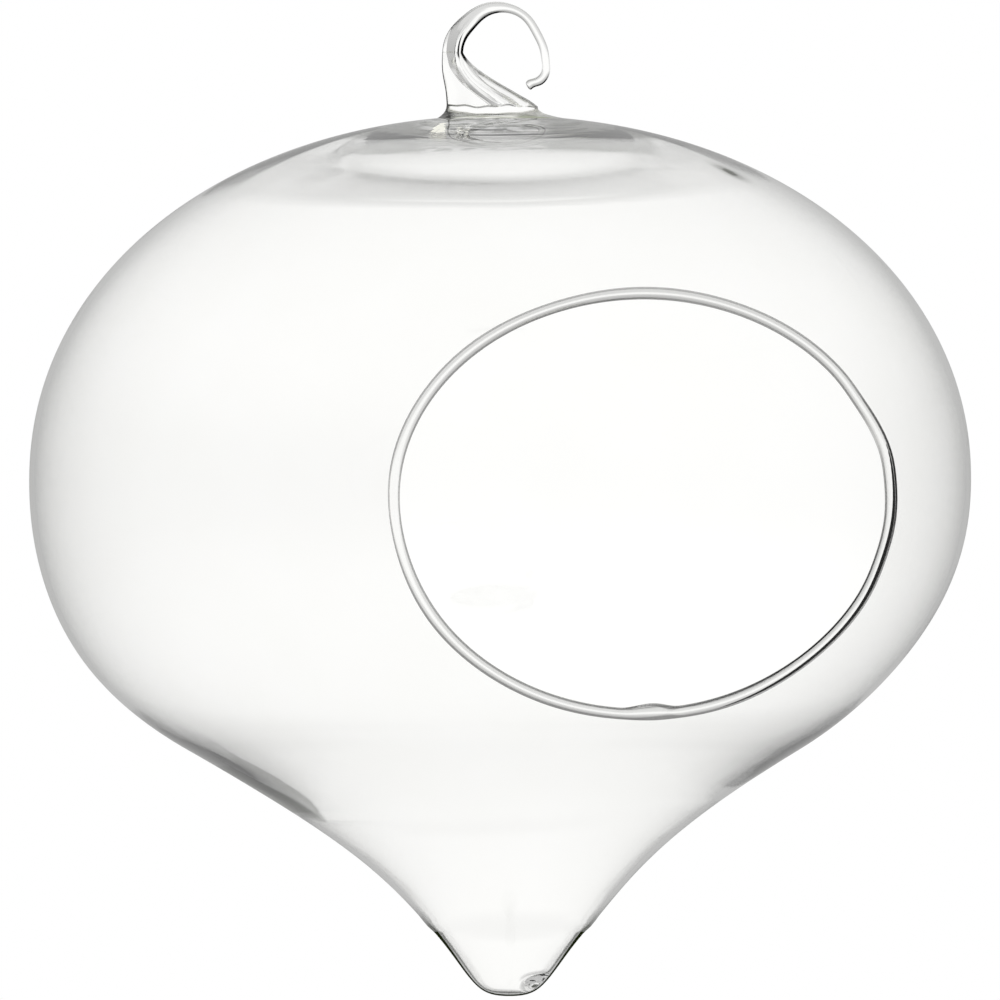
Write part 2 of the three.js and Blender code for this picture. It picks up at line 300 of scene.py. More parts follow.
def grid_faces(index, closed=True):
    """Two triangles for each cell of a grid of point numbers. They face the viewer when the rows
    run away from the grid's first row on the right-hand side of its columns' direction."""
    if closed:
        index = np.hstack([index, index[:, :1]])
    a, b = index[:-1, :-1].ravel(), index[:-1, 1:].ravel()
    c, d = index[1:, 1:].ravel(), index[1:, :-1].ravel()
    return np.vstack([np.stack([a, d, c], 1), np.stack([a, c, b], 1)])


def fan_faces(ring, centre):
    """A triangle from each side of a closed ring of point numbers to a centre point."""
    return np.stack([ring, np.roll(ring, -1), np.full(len(ring), centre)], 1)


def flipped(faces):
    """The same triangles facing the other way."""
    return faces[:, ::-1]


def make_piece(name, points, painted_shade_and_milk, parts, materials):
    """Puts points in mm and (triangles, mark) pairs into a closed, smooth mesh in metres. The
    painted shade is three numbers for each point, or three for all: how dark a shade is painted on
    the glass where it is seen edge on, how sharply that painted shade begins, and how patchy it is.
    Below zero the third holds the painted shade back, and well above one it makes the glass milky."""
    faces = np.vstack([part for part, _ in parts])
    marks = np.concatenate([np.full(len(part), mark) for part, mark in parts])
    used, faces = np.unique(faces, return_inverse=True)
    faces = faces.reshape(-1, 3).astype(np.int32)
    places = (points[used] * MM).astype(np.float32)
    mesh = bpy.data.meshes.new(name)
    mesh.vertices.add(len(places))
    mesh.vertices.foreach_set("co", places.ravel())
    mesh.loops.add(faces.size)
    mesh.loops.foreach_set("vertex_index", faces.ravel())
    mesh.polygons.add(len(faces))
    mesh.polygons.foreach_set("loop_start", np.arange(0, faces.size, 3, dtype=np.int32))
    mesh.polygons.foreach_set("material_index", marks.astype(np.int32))
    mesh.update(calc_edges=True)
    sides = np.zeros(len(mesh.loops), np.int32)
    mesh.loops.foreach_get("edge_index", sides)
    faces_at_edge = np.bincount(sides, minlength=len(mesh.edges))
    joints_at_edge = np.bincount(sides, weights=np.repeat(marks > 0, 3), minlength=len(mesh.edges))
    mesh.edges.foreach_set("use_edge_sharp", joints_at_edge == 1)
    mesh.polygons.foreach_set("use_smooth", np.ones(len(faces), bool))
    painted_shade_and_milk = np.broadcast_to(painted_shade_and_milk, (len(points), 3))[used].astype(np.float32)
    mesh.attributes.new("painted_shade_and_milk", "FLOAT_VECTOR", "POINT").data.foreach_set("vector", painted_shade_and_milk.ravel())
    for material in materials:
        mesh.materials.append(material)
    piece = bpy.data.objects.new(name, mesh)
    bpy.context.scene.collection.objects.link(piece)
    a, b, c = (places[faces[:, corner]] for corner in range(3))
    volume = np.einsum("ij,ij->i", a, np.cross(b, c)).sum() / 6 * 1e6
    loose = int((faces_at_edge != 2).sum())
    print(f"{name}: {len(faces)} triangles, {loose} open edges, {volume:.2f} cm3 of glass")
    return piece

# %% [markdown]
# ## Glass
#
# Soda-lime glass, blown and fire-polished: clear, faintly green through its thickness, with a
# skin so smooth that it mirrors like water. Its index of refraction is 1.5.
#
# The worked bits, such as the hook and the lip, are thick rods. A rod shows a dark line along each
# edge, because there it bends light in from the dark sides of the room. The room here is bright all
# round, so a Layer Weight paints that shade into the glass's colour towards its edges instead. How
# dark this painted shade is, and where, is written on the points of each piece.

# %% Helpers for nodes, colours and materials
def add_node(tree, kind, inputs=None, **settings):
    """Adds a node of a kind, with settings, and inputs that are values or other nodes' outputs."""
    node = tree.nodes.new(kind)
    for key, value in settings.items():
        setattr(node, key, value)
    for key, value in (inputs or {}).items():
        if isinstance(value, bpy.types.NodeSocket):
            tree.links.new(value, node.inputs[key])
        else:
            node.inputs[key].default_value = value
    return node


def colour(hex_text):
    """An sRGB hex colour as a linear one with full alpha."""
    parts = np.array([int(hex_text[i:i + 2], 16) for i in (1, 3, 5)]) / 255
    linear = np.where(parts <= 0.04045, parts / 12.92, ((parts + 0.055) / 1.055) ** 2.4)
    return (*linear, 1.0)


def new_material(name):
    """A material with an empty node tree, and its output node."""
    material = bpy.data.materials.new(name)
    material.use_nodes = True
    material.node_tree.nodes.clear()
    output = material.node_tree.nodes.new("ShaderNodeOutputMaterial")
    return material, material.node_tree, output

# %% Blown glass, worked glass and the fused joint
PATCH_SIZE = 2.6
MILK_SIZE = 1.1
MILK_COLOUR = "#fbfaf0"
FLECK_SIZE = 3.4
SHADE_SIZE = 5.0
GLASS_INDEX = 1.5


def clear_glass(name, edge_shade_hex, edge_start, edge_end, wave_size, wave_height):
    """Glass that slides from clear, seen square on, to a painted edge shade, seen along the skin. A
    noise gives it the faint streaks and slow waves of blown glass. Where the painted shade asks for
    it, a second noise breaks the painted dark into patches and a third makes the glass milky. Full
    painted dark and milk let no light through."""
    material, tree, output = new_material(name)
    place = add_node(tree, "ShaderNodeTexCoord").outputs["Object"]
    streaks = add_node(tree, "ShaderNodeTexNoise", {
        "Vector": place, "Scale": 1 / (wave_size * MM), "Detail": 2.0, "Roughness": 0.45,
    })
    # Painted edge shade: a Layer Weight darkens the glass's colour where it is seen edge on.
    facing = add_node(tree, "ShaderNodeLayerWeight", {"Blend": 0.5}).outputs["Facing"]
    edge = add_node(tree, "ShaderNodeMapRange", {
        "Value": facing, "From Min": edge_start, "From Max": edge_end,
    }, interpolation_type="SMOOTHSTEP")
    body = add_node(tree, "ShaderNodeMix", {
        "Factor": streaks.outputs["Fac"], 6: colour("#ffffff"), 7: colour("#fdfdfc"),
    }, data_type="RGBA")
    painted_shade_and_milk = add_node(tree, "ShaderNodeAttribute", attribute_name="painted_shade_and_milk").outputs["Vector"]
    painted_shade_and_milk = add_node(tree, "ShaderNodeSeparateXYZ", {"Vector": painted_shade_and_milk}).outputs
    hold = add_node(tree, "ShaderNodeMath", {0: painted_shade_and_milk["Z"], 1: 0.0}, operation="MINIMUM")
    sharp = add_node(tree, "ShaderNodeMath", {
        0: edge.outputs["Result"], 1: painted_shade_and_milk["Y"], 2: hold.outputs[0],
    }, operation="MULTIPLY_ADD", use_clamp=True)
    dark = add_node(tree, "ShaderNodeMath", {0: sharp.outputs[0], 1: painted_shade_and_milk["X"]},
                    operation="MULTIPLY")
    flecks = add_node(tree, "ShaderNodeTexNoise", {
        "Vector": place, "Scale": 1 / (PATCH_SIZE * MM), "Detail": 2.0,
    })
    flecks = add_node(tree, "ShaderNodeMapRange", {
        "Value": flecks.outputs["Fac"], "From Min": 0.42, "From Max": 0.56,
    })
    patch = add_node(tree, "ShaderNodeMath", {0: flecks.outputs["Result"], 1: painted_shade_and_milk["Z"]},
                     operation="MULTIPLY", use_clamp=True)
    whole = add_node(tree, "ShaderNodeMath", {0: 1.0, 1: patch.outputs[0]}, operation="SUBTRACT")
    dark = add_node(tree, "ShaderNodeMath", {0: dark.outputs[0], 1: whole.outputs[0]},
                    operation="MULTIPLY")
    tint = add_node(tree, "ShaderNodeMix", {
        "Factor": dark.outputs[0], 6: body.outputs[2], 7: colour(edge_shade_hex),
    }, data_type="RGBA")
    foam = add_node(tree, "ShaderNodeTexNoise", {
        "Vector": place, "Scale": 1 / (MILK_SIZE * MM), "Detail": 2.0,
    })
    foam = add_node(tree, "ShaderNodeMath", {0: foam.outputs["Fac"], 1: painted_shade_and_milk["Z"]}, operation="ADD")
    milk = add_node(tree, "ShaderNodeMapRange", {
        "Value": foam.outputs[0], "From Min": 1.9, "From Max": 2.15,
    })
    tint = add_node(tree, "ShaderNodeMix", {
        "Factor": milk.outputs["Result"], 6: tint.outputs[2], 7: colour(MILK_COLOUR),
    }, data_type="RGBA")
    polish = add_node(tree, "ShaderNodeMapRange", {
        "Value": streaks.outputs["Fac"], "To Min": 0.0, "To Max": 0.012,
    })
    waves = add_node(tree, "ShaderNodeBump", {
        "Height": streaks.outputs["Fac"], "Strength": 1.0, "Distance": wave_height * MM,
    })
    clear = add_node(tree, "ShaderNodeMapRange", {
        "Value": dark.outputs[0], "From Min": 0.9, "From Max": 1.0, "To Min": 1.0, "To Max": 0.0,
    })
    clear = add_node(tree, "ShaderNodeMath", {
        0: clear.outputs["Result"], 1: milk.outputs["Result"],
    }, operation="SUBTRACT", use_clamp=True)
    shader = add_node(tree, "ShaderNodeBsdfPrincipled", {
        "Base Color": tint.outputs[2], "Roughness": polish.outputs["Result"],
        "IOR": GLASS_INDEX, "Specular IOR Level": 0.0, "Transmission Weight": clear.outputs[0],
        "Normal": waves.outputs["Normal"],
    })
    tree.links.new(shader.outputs[0], output.inputs["Surface"])
    return material


def fused_joint():
    """No skin at all, so light goes straight through."""
    material, tree, output = new_material("fused_joint_inside_glass")
    through = add_node(tree, "ShaderNodeBsdfTransparent", {"Color": (1, 1, 1, 1)})
    tree.links.new(through.outputs[0], output.inputs["Surface"])
    return material


def flecked_joint():
    """The join under the hook's foot: clear, with flecks where air was trapped. They are milky on
    the left and olive on the right."""
    material, tree, output = new_material("flecked_joint_inside_glass")
    place = add_node(tree, "ShaderNodeTexCoord").outputs["Object"]
    flecks = add_node(tree, "ShaderNodeTexNoise", {
        "Vector": place, "Scale": 1 / (FLECK_SIZE * MM), "Detail": 3.0, "Roughness": 0.6,
    })
    cover = add_node(tree, "ShaderNodeMapRange", {
        "Value": flecks.outputs["Fac"], "From Min": 0.3, "From Max": 0.5, "To Max": 0.9,
    })
    shades = add_node(tree, "ShaderNodeTexNoise", {
        "Vector": place, "Scale": 1 / (SHADE_SIZE * MM), "Detail": 1.0,
    })
    to_right = add_node(tree, "ShaderNodeSeparateXYZ", {"Vector": place}).outputs["X"]
    olive = add_node(tree, "ShaderNodeMath", {
        0: to_right, 1: 0.02 / MM, 2: shades.outputs["Fac"],
    }, operation="MULTIPLY_ADD")
    shade = add_node(tree, "ShaderNodeMapRange", {
        "Value": olive.outputs[0], "From Min": 0.48, "From Max": 0.6,
    })
    milk = add_node(tree, "ShaderNodeMix", {
        "Factor": shade.outputs["Result"], 6: colour("#fdfdf6"), 7: colour("#b0b4a2"),
    }, data_type="RGBA")
    shader = add_node(tree, "ShaderNodeBsdfPrincipled", {
        "Base Color": milk.outputs[2], "Roughness": 0.7, "Specular IOR Level": 0.0,
        "Alpha": cover.outputs["Result"],
    })
    tree.links.new(shader.outputs[0], output.inputs["Surface"])
    return material


# The dark colours given here are painted edge shades, dark green-grey for the bulb and near black
# for the rods.
blown_glass = clear_glass("blown_soda_lime_glass", "#1e2510", 0.7, 0.93, 14.0, 0.012)
worked_glass = clear_glass("fire_polished_glass_rod", "#060706", 0.2, 0.45, 5.0, 0.01)
joint = fused_joint()
glass_set = [blown_glass, joint, flecked_joint()]
rod_set = [worked_glass, joint]
print("materials:", [material.name for material in bpy.data.materials])

# %% [markdown]
# ## The mouth's edge
#
# On the real object the mouth is opened in the wall with a hot point, and a thread of glass is
# trailed on its edge. Seen square on it is an ellipse. On the curved wall it is a bent line.
#
# A Boolean cut would leave long thin triangles that show in glass as scratches. So the mesh of
# the wall is made to flow round the mouth: its rows and columns stop at a rectangle, and rings
# lead from that rectangle to the oval.

# %% The oval edge of the wall
MOUTH_LEAN = -2.14
MOUTH_BOW = 0.77


def stray_at(angle):
    """How far the thread strays outwards from the ellipse: a few bell-shaped bumps by angle."""
    degrees = np.degrees(angle)
    return 0.35 * bump(degrees, 14, 7) - 0.35 * bump(degrees, 345, 9) - 0.25 * bump(degrees, 30, 6)


def lip_radius_at(angle):
    """The thread's own radius, a little uneven."""
    return LIP_RADIUS * (0.97 + 0.03 * np.sin(5 * angle + 1) + 0.02 * np.sin(9 * angle))


def middle_length_at(height):
    """How far along the line the middle of the wall reaches a height."""
    return np.interp(-height, -LINE_MIDDLE[1], LINE)


def mouth_edge(angle):
    """Turn and length of the wall's edge: an ellipse that is the clear mouth, widened by the
    thread's radius and by how far the thread overlaps the edge, laid on the wall's middle."""
    guess = middle_length_at(MOUTH_HALF_HEIGHT * np.sin(angle) - MOUTH_DROP)
    radius = lip_radius_at(angle)
    overlap = np.sqrt(radius**2 - (np.interp(guess, LINE, LINE_WALL) / 2) ** 2)
    seat = radius + overlap + stray_at(angle)
    length = middle_length_at((MOUTH_HALF_HEIGHT + seat) * np.sin(angle) - MOUTH_DROP)
    lean = MOUTH_LEAN * np.sin(angle) + MOUTH_BOW * np.sin(angle) ** 2
    across = (MOUTH_HALF_WIDTH + seat) * np.cos(angle) + lean
    return np.arcsin(across / np.interp(length, LINE, LINE_MIDDLE[0])), length

# %% [markdown]
# ## The bulb
#
# The bulb's skins are grids of columns round the axis and rows along the line. Both skins have
# the same rows and columns, so a face of one lies behind a face of the other and the wall shows no
# facets. At the mouth the two skins are joined by a band, at the seal by a ring, and on the crown
# the round spot under the hook's foot is a joint.
#
# The bulb looks darkest where it is thick and seen edge on, so its painted shade is strong there.

# %% Rows and columns of the bulb
COLUMNS = 320
SIDE_COLUMNS = 36
MOUTH_RINGS = 14
SPOT_RADIUS = 10.0


def rows_between(start, end, step):
    """Evenly spaced lengths from start up to, but without, end."""
    count = int(np.ceil((end - start) / step))
    return start + (end - start) * np.arange(count) / count


spot_length = np.interp(SPOT_RADIUS, LINE_RADIUS[:DENSE], LINE[:DENSE])
above_mouth = middle_length_at(35.5)
below_mouth = middle_length_at(-43.5)
row_groups = [
    rows_between(1.5, spot_length, 2.0),
    rows_between(spot_length, 41.0, 1.8),
    rows_between(41.0, 58.0, 1.0),
    rows_between(58.0, above_mouth, 1.7),
    rows_between(above_mouth, below_mouth, 1.5),
    np.append(rows_between(below_mouth, SEAL_LENGTH, 1.15), SEAL_LENGTH),
]
rows = np.concatenate(row_groups)
spot_row, _, _, top_row, bottom_row = np.cumsum([len(group) for group in row_groups[:5]])
turns = 2 * np.pi * np.arange(COLUMNS) / COLUMNS
print(len(rows), "rows; the spot ends at", spot_row, "and the mouth at", top_row, bottom_row)

# %% The rectangle round the mouth, and the oval inside it
def mouth_rectangle():
    """Row and column numbers round the rectangle, anticlockwise from its lower right corner."""
    up = np.arange(bottom_row, top_row, -1)
    left = np.arange(SIDE_COLUMNS, -SIDE_COLUMNS, -1)
    top, bottom = np.full(len(left), top_row), np.full(len(left), bottom_row)
    side = np.full(len(up), SIDE_COLUMNS)
    row = np.concatenate([up, top, up[::-1] - 1, bottom])
    column = np.concatenate([side, left, -side, -left])
    return row, column


frame_row, frame_column = mouth_rectangle()
frame_turn = 2 * np.pi * frame_column / COLUMNS
frame_length = rows[frame_row]
edge_angle = np.arctan2(
    (np.interp(frame_length, LINE, LINE_MIDDLE[1]) + MOUTH_DROP) / MOUTH_HALF_HEIGHT,
    np.interp(frame_length, LINE, LINE_MIDDLE[0]) * np.sin(frame_turn) / MOUTH_HALF_WIDTH,
)
join_ends = JOIN_TURN + np.array([-JOIN_HALF_TURN, JOIN_HALF_TURN])
near_ends = np.abs(edge_angle[:, None] - join_ends).argmin(axis=0)
edge_angle = np.interp(
    edge_angle,
    [-np.pi, *edge_angle[near_ends], np.pi],
    [-np.pi, *join_ends, np.pi],
)
edge_turn, edge_length = mouth_edge(edge_angle)
print(len(edge_angle), "points on the mouth's edge, join between points", near_ends)

# %% Both skins of the bulb
LINE_INNER = np.array([LINE_RADIUS, LINE_HEIGHT]) - LINE_WALL * LINE_OUT
inner_seal = np.interp(SEAL_DEPTH, -LINE_INNER[1][DENSE:], LINE[DENSE:])


def bulb_skin(inner):
    """Points and triangles of one skin: a turned grid with a rectangle left out, and rings that
    slide from the oval to the rectangle. The inner skin's last rows slide on to the level of the
    seal."""
    length = rows + inner * (inner_seal - SEAL_LENGTH) * ease(rows, SEAL_LENGTH - 15, SEAL_LENGTH)
    grid = skin(turns[None, :], length[:, None], inner)
    share = (np.arange(MOUTH_RINGS) / MOUTH_RINGS)[:, None] ** 1.3
    rings = skin(mix(edge_turn, frame_turn, share), mix(edge_length, frame_length, share), inner)
    points = np.vstack([grid.reshape(-1, 3), rings.reshape(-1, 3), skin(0.0, 0.0, inner)])
    index = np.arange(grid[..., 0].size).reshape(grid.shape[:2])
    ring_index = index.size + np.arange(rings[..., 0].size).reshape(rings.shape[:2])
    behind = np.arange(SIDE_COLUMNS, COLUMNS - SIDE_COLUMNS + 1)
    faces = {
        "pole": fan_faces(index[0], len(points) - 1),
        "spot": grid_faces(index[:spot_row + 1]),
        "crown": grid_faces(index[spot_row:top_row + 1]),
        "behind": grid_faces(index[top_row:bottom_row + 1][:, behind], closed=False),
        "tail": grid_faces(index[bottom_row:]),
        "rings": grid_faces(np.vstack([ring_index, index[frame_row, frame_column]])),
    }
    return points, faces, ring_index[0], index[-1]


outer_points, outer, outer_edge, outer_seal_ring = bulb_skin(0)
inner_points, inner, inner_edge, inner_seal_ring = bulb_skin(1)
shift = len(outer_points)
bulb_parts = [(part, FLECKED if key in ("pole", "spot") else GLASS) for key, part in outer.items()]
bulb_parts += [(flipped(part) + shift, GLASS) for part in inner.values()]
bulb_parts += [
    (flipped(grid_faces(np.stack([outer_edge, inner_edge + shift]))), JOINT),
    (grid_faces(np.stack([outer_seal_ring, inner_seal_ring + shift])), JOINT),
]
bulb_points = np.vstack([outer_points, inner_points])

# %% The bulb's painted shade and milk, and the bulb
# How strong the painted shade under the crown is, and where the painted dark streak on the right
# shoulder lies.
BUTTON_PAINTED_SHADE = 0.845
STREAK_HEADING = -0.5
STREAK_RADIUS = 41.3


def bulb_painted_shade_and_milk(points):
    """A painted shade, laid where the glass is thick and seen edge on: under the crown, patchy next
    to the foot, in the bowl's ring on both sides, at the seal, and in one dark streak on the right
    shoulder. In the ring the painted shade is held back, more so higher up. A lump and a spark at
    the front, left of the foot's middle, are milky."""
    x, y = points[:, 0], points[:, 1]
    height = points[:, 2] - BELLY_LEVEL
    radius = np.hypot(x, y)
    heading = np.arctan2(y, x)
    left = ease(-np.cos(heading), 0.72, 0.93)
    right = ease(np.cos(heading), 0.72, 0.93)
    ring_end = RING_END - RING_TILT * (1 + np.cos(heading))
    button = ease(radius, 29, 26.5) * (height > 0)
    ring = ease(-height, 40, 46) * (1 - ease(-height, ring_end - 0.2, ring_end + 0.5))
    seal = ease(-height, 67, 71)
    along = (heading - STREAK_HEADING) * 20
    streak = np.exp(-(along**2) - ((radius - STREAK_RADIUS) / 2.6) ** 2) * (height > 0)
    dark = 0.06 + BUTTON_PAINTED_SHADE * button + ring * (0.86 * left + 0.06 * right)
    dark = dark + 0.9 * seal + 1.3 * streak
    sharp = 1 + 3 * button + 8 * ring * left + 3 * ring * right + 4 * seal + 12 * streak
    patchy = button * (1 - ease(np.abs(x + 3), 8, 11))
    near = (y < 0) * (height > 0)
    slant = 0.23 * (25 - radius)
    lump = ease(x, slant - 12.3, slant - 11.8) * (1 - ease(x, -9.1, -8.6))
    lump = lump * ease(radius, 15, 17) * (1 - ease(radius, 24.3, 25.6)) * near
    spark = ease(x, -7.8, -7.3) * (1 - ease(x, -5.3, -4.8)) * ease(radius, 18.5, 19.5) * near
    spark = spark * (1 - ease(radius, 26, 27))
    milky = 1.75 * lump + 1.5 * spark * (1 - lump)
    patchy = np.maximum(patchy, milky)
    hold = ring * (left * mix(5.0, 1.0, ease(-height, 45, 52.5)) + 2.2 * right)
    return np.stack([np.minimum(dark, 0.95), sharp, patchy - hold], axis=1)


bulb = make_piece("glass_bulb", bulb_points, bulb_painted_shade_and_milk(bulb_points), bulb_parts, glass_set)

# %% [markdown]
# ## The sealed tip
#
# The tail's end is closed in the flame. Below the seal the wall is thin, and the melted glass
# gathers in a bead on the right. Both skins go on along the bulb's two skins and close in a point.

# %% Tip: both skins from the seal down to the nose
NOSE_ROWS = 40
nose_rows = mix(SEAL_LENGTH, LINE[-1], np.linspace(0, 1, NOSE_ROWS + 1)[:-1])


def nose_skin(inner):
    """One skin of the tip. The inner one slides from the seal's level on to its own rows."""
    slide = inner * (inner_seal - SEAL_LENGTH) * (1 - ease(nose_rows, SEAL_LENGTH, SEAL_LENGTH + 6))
    return skin(turns[None, :], (nose_rows + slide)[:, None], inner)


nose_out, nose_in = nose_skin(0), nose_skin(1)
nose_index = np.arange(nose_out[..., 0].size).reshape(nose_out.shape[:2])
dish_index = nose_index + nose_index.size
tip_points = np.vstack([
    nose_out.reshape(-1, 3),
    nose_in.reshape(-1, 3),
    skin(0.0, LINE[-1], 0),
    skin(0.0, LINE[-1], 1),
])
# The tip gets a strong, sharp painted edge shade all over.
tip = make_piece("glass_tip", tip_points, (1.0, 5.0, 0.0), [
    (grid_faces(nose_index), GLASS),
    (flipped(fan_faces(nose_index[-1], 2 * nose_index.size)), GLASS),
    (flipped(grid_faces(dish_index)), GLASS),
    (fan_faces(dish_index[-1], 2 * nose_index.size + 1), GLASS),
    (flipped(grid_faces(np.stack([nose_index[0], dish_index[0]]))), JOINT),
], glass_set)

# %% [markdown]
# ## The thread round the mouth, and the drop at its join
#
# The thread is a round rod that sits on the wall's edge. Its skin is an arc, from the wall's outer
# skin round to the inner one, and the band between them is the joint. At the bottom its two ends
# meet in a drop, which is the same arc swollen in the middle. A painted shade makes its edges
# darkest at the right.

# %% A rod on the edge of the wall
ARC_POINTS = 29


def edge_frame(first, last, finer):
    """Outer and inner edge points from one point number to another, with more points between
    them, the unit vector from inner to outer, and the one that points into the mouth."""
    whole = np.stack([skin(edge_turn, edge_length, 0), skin(edge_turn, edge_length, 1)])
    across = whole[0] - whole[1]
    along = np.roll(whole.mean(0), -1, axis=0) - np.roll(whole.mean(0), 1, axis=0)
    into = np.cross(across, along)
    numbers = np.linspace(first, last, (last - first) * finer + 1)
    low = np.floor(numbers).astype(int)
    share = (numbers - low)[:, None]
    size = len(edge_angle)
    picked = [mix(row[low % size], row[(low + 1) % size], share) for row in (*whole, across, into)]
    angle = mix(edge_angle[low % size], edge_angle[(low + 1) % size], share[:, 0])
    unit = [row / np.linalg.norm(row, axis=1)[:, None] for row in picked[2:]]
    return picked[0], picked[1], unit[0], unit[1], angle


def rod_on_edge(name, first, last, finer, across_half, into_half):
    """An arc of an ellipse swept along the edge: across_half and into_half are its half axes, and
    its centre lies so far into the mouth that the arc ends on the wall's two edges. Its painted
    edge shade is strongest at the right, and fades out over a short stretch inside the mouth, at
    the right and a little above the middle."""
    outer_row, inner_row, out, into, angle = edge_frame(first, last, finer)
    across_half = across_half(angle)
    into_half = into_half(angle)
    half_wall = np.linalg.norm(outer_row - inner_row, axis=1) / 2
    start = -np.arccos(half_wall / across_half)
    centre = (outer_row + inner_row) / 2 - (into_half * np.sin(start))[:, None] * into
    sweep = mix(start, np.pi - start, np.linspace(0, 1, ARC_POINTS)[:, None])
    points = (
        centre
        + (across_half * np.cos(sweep))[..., None] * out
        + (into_half * np.sin(sweep))[..., None] * into
    )
    index = np.arange(points[..., 0].size).reshape(points.shape[:2])
    ends = np.stack([centre[0], centre[-1]])
    degrees = np.degrees(angle)[None, :]
    inside = ease(np.sin(sweep), 0.2, 0.7)
    right = mix(bump(degrees, 8, 42), bump(degrees, -42, 62), inside)
    broken = inside * bump(degrees, 20, 6)
    painted_shade_and_milk = np.stack([mix(0.7, 0.99, right) * (1 - broken), 2 + right, 0 * right], axis=-1)
    painted_shade_and_milk = np.vstack([painted_shade_and_milk.reshape(-1, 3), painted_shade_and_milk[0, :2]])
    return make_piece(name, np.vstack([points.reshape(-1, 3), ends]), painted_shade_and_milk, [
        (flipped(grid_faces(index, closed=False)), GLASS),
        (grid_faces(index[[0, -1]], closed=False), JOINT),
        (fan_faces(index[:, 0], index.size), JOINT),
        (flipped(fan_faces(index[:, -1], index.size + 1)), JOINT),
    ], rod_set)


def swell_at(angle):
    """How much of its full size the drop has: a squared sine along the join."""
    share = (angle - join_ends[0]) / (join_ends[1] - join_ends[0])
    return np.sin(np.pi * share) ** 2


lip = rod_on_edge(
    "glass_lip", near_ends[1], near_ends[0] + len(edge_angle), 1, lip_radius_at, lip_radius_at
)
drop = rod_on_edge(
    "glass_join_drop", near_ends[0], near_ends[1], 4,
    lambda angle: lip_radius_at(angle) + 0.35 * swell_at(angle),
    lambda angle: lip_radius_at(angle) + 0.55 * swell_at(angle),
)

# %% [markdown]
# ## The hook's foot
#
# A gather of hot glass was pressed on the crown, and the hook was drawn out of it. Its skin flares
# down on to the crown like the foot of a candle. It starts on the round spot that was kept free on
# the bulb, and ends on the root of the hook. In front it stands nearly upright, because a slope
# there would bend grey light to the eye, and the foot is bright.

# %% Sections of the hook, and its root
ROUND = 160
ROOT_WIDTH = 14.5
ROOT_SPREAD = 1.35
ROD_WIDTH = 1.35
ROD_DEPTH = 1.4
LIMB_WIDTH = 3.3
LIMB_DEPTH = 3.3
BACK = -EYE_RADIUS - LIMB_WIDTH
BACK_LEAN = 0.7
BACK_ROUND = 0.9
WEB = 0.35
SINK = 0.62
around = 2 * np.pi * np.arange(ROUND) / ROUND


def half_depth(v, width, rod, web, middle, reach, run, gap, back_run):
    """Half the depth in mm of a section at v, which runs from 1 at the back to -1 under the eye:
    half a rod on the eye's side and half a web behind it, with a slope between them that reaches
    so far in mm each way. A gap further on the rod sinks by a step. Both edges are quarter ovals,
    back_run mm wide at the back and run mm wide at the eye."""
    u = (1 - v) / 2
    past = (u - middle) * width
    slope = np.clip(past / reach / 2 + 0.5, 0, 1)
    rod = rod - SINK * np.clip((past - reach - gap) / 0.95, 0, 1)
    back = np.clip(u * width / np.minimum(back_run, width / 2), 0, 1)
    front = np.clip((1 - u) * width / np.minimum(run, width / 2), 0, 1)
    edges = np.sqrt((1 - (1 - back) ** 2) * (1 - (1 - front) ** 2))
    return mix(web, rod, slope) * edges


def root_section(share, angle):
    """The hook's root, from the foot at 0 to the eye's middle at 1. Its back leans a little, its
    width spreads with a power of the distance below the eye, and its depth grows evenly. The
    lowest section is wavy."""
    fall = 1 - share
    spread = fall**ROOT_SPREAD
    width = mix(LIMB_WIDTH, ROOT_WIDTH, spread)
    rod = LIMB_DEPTH / 2 + 0.6 * fall
    web = WEB + 0.5 * fall
    back = BACK + BACK_LEAN * fall**2 - 0.18 * np.sin(2 * np.pi * np.clip(fall, 0, 1)) * fall**0.5
    v = np.cos(angle)
    x = back + width * (1 - v) / 2
    middle = mix(0.5, 0.42, ease(fall, 0, 0.3)) + 0.12 * ease(fall, 0.5, 1)
    run = mix(0.6, 1.3, ease(fall, 0, 0.5))
    back_run = mix(BACK_ROUND, 1.9, ease(fall, 0.2, 0.8))
    gap = 0.4 + 1.2 * fall**2
    depth = half_depth(v, width, rod, web, middle, 1.0, run, gap, back_run)
    y = np.sign(np.sin(angle)) * depth
    wave = 0.16 * np.sin(0.75 * x + 1) + 0.1 * np.sin(1.9 * x)
    z = -EYE_RADIUS - ROOT_HEIGHT * fall + wave * fall**8
    return np.stack(np.broadcast_arrays(x, y, z), axis=-1)

# %% Foot: from the round spot to the root's lowest section
FOOT_ROWS = 61
FOOT_HALF_DEPTH = 2.0
STEEP_AT_SIDES = 2.6
STEEP_IN_FRONT = 16.0
spot_height = np.interp(spot_length, LINE, LINE_HEIGHT)
foot_share = np.linspace(0, 1, FOOT_ROWS)[:, None]
root_ring = root_section(0.0, around)
spot_ring = np.stack([
    axis_at(spot_height) - SPOT_RADIUS * np.cos(around),
    SPOT_RADIUS * np.sin(around),
    np.full(ROUND, spot_height + BELLY_LEVEL),
], axis=-1)
steep = mix(STEEP_AT_SIDES, STEEP_IN_FRONT, np.sin(around) ** 2)
draw = 1 - (1 - foot_share) ** steep
foot_grid = mix(spot_ring, root_ring, draw[..., None])
oval = FOOT_HALF_DEPTH * np.sign(np.sin(around)) * np.sqrt(1 - np.abs(np.cos(around)) ** 3)
ledge = (oval - root_ring[:, 1]) * draw * (1 - ease(foot_share, 0.84, 0.97))
foot_grid[..., 1] += ledge
foot_grid[..., 2] = mix(spot_ring[:, 2], root_ring[:, 2], foot_share)
foot_index = np.arange(foot_grid[..., 0].size).reshape(foot_grid.shape[:2])
foot_middles = np.stack([spot_ring.mean(0) + (0, 0, 0.3), root_ring.mean(0)])
